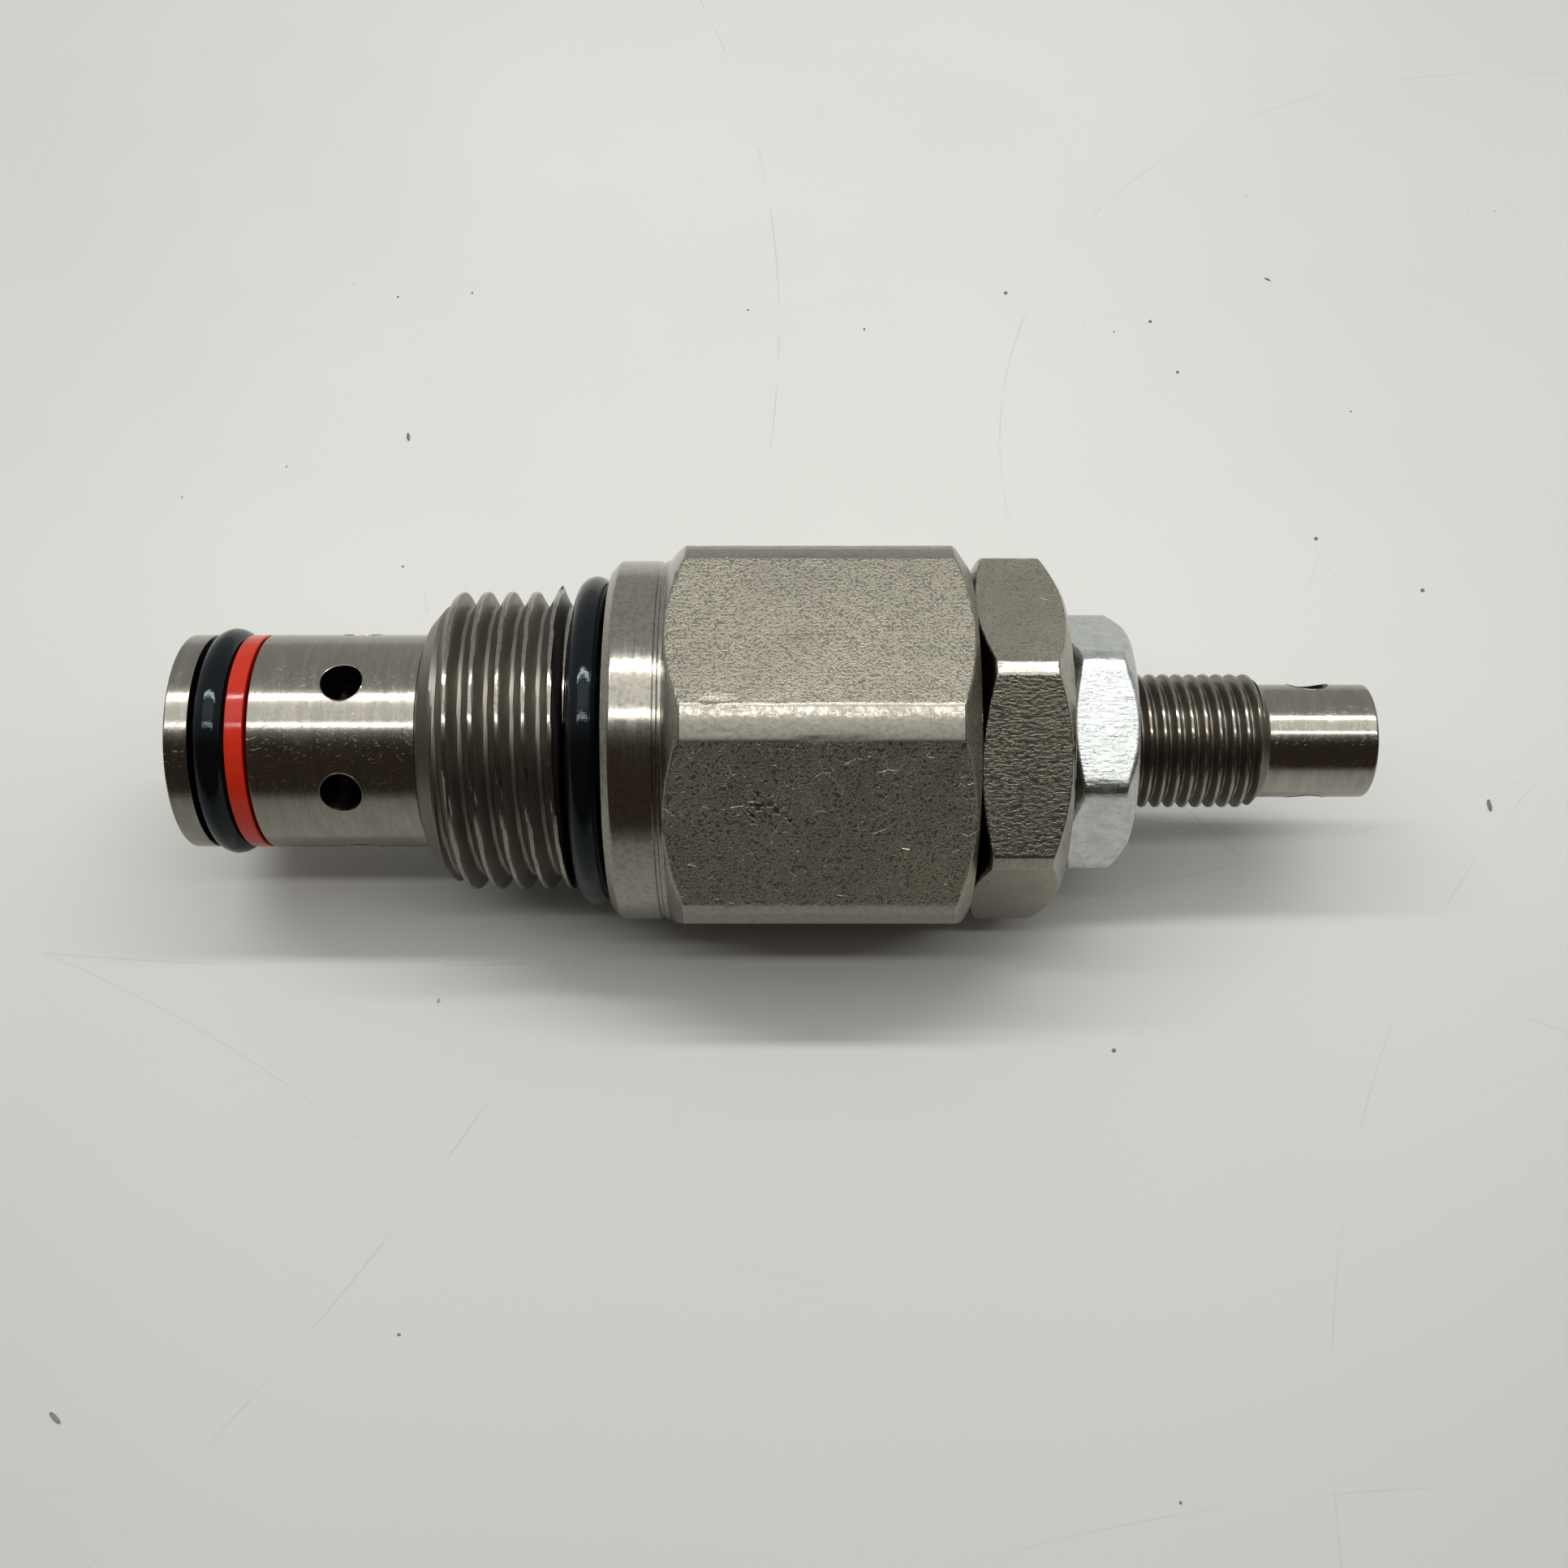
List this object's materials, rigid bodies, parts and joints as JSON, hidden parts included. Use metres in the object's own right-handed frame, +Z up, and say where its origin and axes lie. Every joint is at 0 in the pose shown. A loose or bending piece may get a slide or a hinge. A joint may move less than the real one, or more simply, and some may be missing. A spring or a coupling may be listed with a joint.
{
  "type": "cartridge valve",
  "caption": "Screw-in hydraulic relief cartridge valve with a ported nose, sealing rings, mounting thread, hexagon body and a spring adjusting screw with a jam nut.",
  "frame": {"origin": "centre of the collar face that seats on the cavity, on the valve axis", "axes": "+X from the nose to the adjusting screw, +Z up with one flat of the large hexagon facing straight down, +Y to complete a right-handed frame"},
  "size_m": [0.0868, 0.0298, 0.027],
  "materials": {
    "turned_steel": "satin",
    "cage_steel": "satin",
    "bonnet_steel": "satin",
    "screw_steel": "satin",
    "zinc_plate": "satin",
    "hard_steel": "satin",
    "spring_wire": "satin",
    "black_rubber": "gloss",
    "red_backup": "satin",
    "white_backup": "satin"
  },
  "bodies": {
    "housing": {"valve_body": "turned_steel", "cage": "cage_steel", "seat_ring": "hard_steel", "seat_retainer": "hard_steel", "nose_o_ring": "black_rubber", "nose_backup_ring": "red_backup", "body_o_ring": "black_rubber", "bonnet": "bonnet_steel", "bonnet_o_ring": "black_rubber", "main_spring": "spring_wire"},
    "poppet_set": {"poppet": "hard_steel", "front_spring_seat": "hard_steel", "spring_shim": "hard_steel"},
    "plunger_set": {"adjusting_plunger": "hard_steel", "plunger_o_ring": "black_rubber", "plunger_backup_ring": "white_backup", "thrust_ball": "hard_steel"},
    "screw": {"adjusting_screw": "screw_steel", "screw_stop_ring": "spring_wire"},
    "nut": {"jam_nut": "zinc_plate"}
  },
  "joints": [
    {"name": "poppet_lift", "type": "slide", "parent": "housing", "child": "poppet_set", "axis": [1, 0, 0], "range_m": [0, 0.0015], "stiffness_N_per_m": 60, "springref_m": -0.002, "deforming": ["main_spring"]},
    {"name": "adjust_travel", "type": "slide", "parent": "housing", "child": "plunger_set", "axis": [1, 0, 0], "range_m": [-0.002, 0.0015], "deforming": ["main_spring"]},
    {"name": "screw_turn", "type": "hinge", "parent": "plunger_set", "child": "screw", "pos_m": [0.04, 0, 0], "axis": [1, 0, 0], "range_deg": [-720, 540]},
    {"name": "jam_nut_turn", "type": "hinge", "parent": "housing", "child": "nut", "pos_m": [0.035, 0, 0], "axis": [1, 0, 0], "range_deg": [0, 360]}
  ],
  "couplings": [
    {"joint": "adjust_travel", "follows": "screw_turn", "m_per_rad": 0.00015915}
  ]
}
